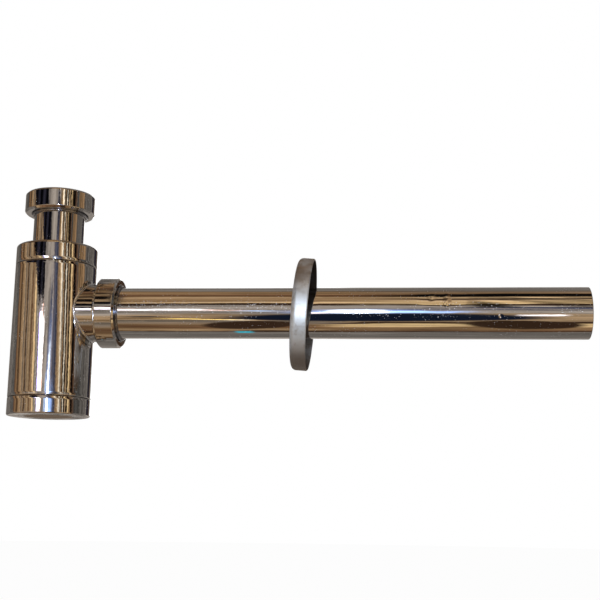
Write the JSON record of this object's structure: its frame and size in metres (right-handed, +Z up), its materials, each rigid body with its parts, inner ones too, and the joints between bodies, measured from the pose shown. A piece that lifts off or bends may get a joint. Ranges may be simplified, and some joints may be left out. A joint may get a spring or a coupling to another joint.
{
  "type": "bottle trap",
  "caption": "Chromed bottle trap for a basin: upright round body with a nut on its inlet, a long wall tube on a side branch, and a loose satin wall flange.",
  "frame": {"origin": "on the inlet's axis, on the gasket's upper face, where the tail of the basin's waste lands", "axes": "+Z up along the inlet, +X along the wall tube towards the wall"},
  "size_m": [0.3585, 0.07, 0.1422],
  "materials": {
    "polished_chrome": "polished chrome plate on brass",
    "turned_brass": "turned, unplated",
    "black_rubber": "moulded",
    "white_nylon": "moulded",
    "satin_nickel": "satin, fine brushed"
  },
  "bodies": {
    "trap_body": {"body_barrel": "polished_chrome", "top_thread_ring": "turned_brass", "bottom_thread_ring": "turned_brass", "outlet_spigot": "polished_chrome"},
    "cap_ring": {"cap_slip_ring": "white_nylon"},
    "cap": {"body_cap": "polished_chrome"},
    "cup_ring": {"cup_o_ring": "black_rubber"},
    "cup": {"bottom_cup": "polished_chrome"},
    "inlet_seal": {"cap_seal": "black_rubber"},
    "inlet": {"inlet_tube": "polished_chrome", "inlet_gasket": "black_rubber"},
    "inlet_ring": {"inlet_slip_ring": "polished_chrome"},
    "inlet_union": {"inlet_nut": "polished_chrome"},
    "outlet_ring": {"outlet_slip_ring": "polished_chrome"},
    "outlet_union": {"outlet_nut": "polished_chrome"},
    "outlet_grip": {"outlet_seal": "black_rubber"},
    "outlet_tube": {"wall_tube": "polished_chrome"},
    "cover": {"wall_flange": "satin_nickel"}
  },
  "joints": [
    {"name": "cap_lift", "type": "slide", "parent": "trap_body", "child": "cap_ring", "axis": [0, 0, 1], "range_m": [0, 0.00749]},
    {"name": "cap_turn", "type": "hinge", "parent": "cap_ring", "child": "cap", "pos_m": [0, 0, 0], "axis": [0, 0, 1], "range_deg": [0, 1800]},
    {"name": "cup_drop", "type": "slide", "parent": "trap_body", "child": "cup_ring", "axis": [0, 0, -1], "range_m": [0, 0.00749]},
    {"name": "cup_turn", "type": "hinge", "parent": "cup_ring", "child": "cup", "pos_m": [0, 0, 0], "axis": [0, 0, -1], "range_deg": [0, 1800]},
    {"name": "outlet_nut_travel", "type": "slide", "parent": "trap_body", "child": "outlet_ring", "axis": [1, 0, 0], "range_m": [0, 0.00923]},
    {"name": "outlet_nut_turn", "type": "hinge", "parent": "outlet_ring", "child": "outlet_union", "pos_m": [0.04, 0, -0.0708], "axis": [1, 0, 0], "range_deg": [0, 1440]},
    {"name": "inlet_swivel", "type": "hinge", "parent": "trap_body", "child": "inlet_seal", "pos_m": [0, 0, 0], "axis": [0, 0, 1], "continuous": true},
    {"name": "inlet_height", "type": "slide", "parent": "inlet_seal", "child": "inlet", "axis": [0, 0, 1], "range_m": [-0.008, 0.03]},
    {"name": "inlet_nut_slide", "type": "slide", "parent": "inlet", "child": "inlet_ring", "axis": [0, 0, -1], "range_m": [0, 0.0205]},
    {"name": "inlet_nut_spin", "type": "hinge", "parent": "inlet_ring", "child": "inlet_union", "pos_m": [0, 0, 0], "axis": [0, 0, 1], "continuous": true},
    {"name": "wall_tube_swivel", "type": "hinge", "parent": "trap_body", "child": "outlet_grip", "pos_m": [0.04, 0, -0.0708], "axis": [1, 0, 0], "continuous": true},
    {"name": "wall_tube_slide", "type": "slide", "parent": "outlet_grip", "child": "outlet_tube", "axis": [1, 0, 0], "range_m": [-0.006, 0.006]},
    {"name": "flange_slide", "type": "slide", "parent": "outlet_tube", "child": "cover", "axis": [1, 0, 0], "range_m": [-0.1, 0.15]}
  ],
  "couplings": [
    {"joint": "cap_turn", "follows": "cap_lift", "rad_per_m": 4188.8},
    {"joint": "cup_turn", "follows": "cup_drop", "rad_per_m": 4188.8},
    {"joint": "outlet_nut_turn", "follows": "outlet_nut_travel", "rad_per_m": 2721.1}
  ]
}
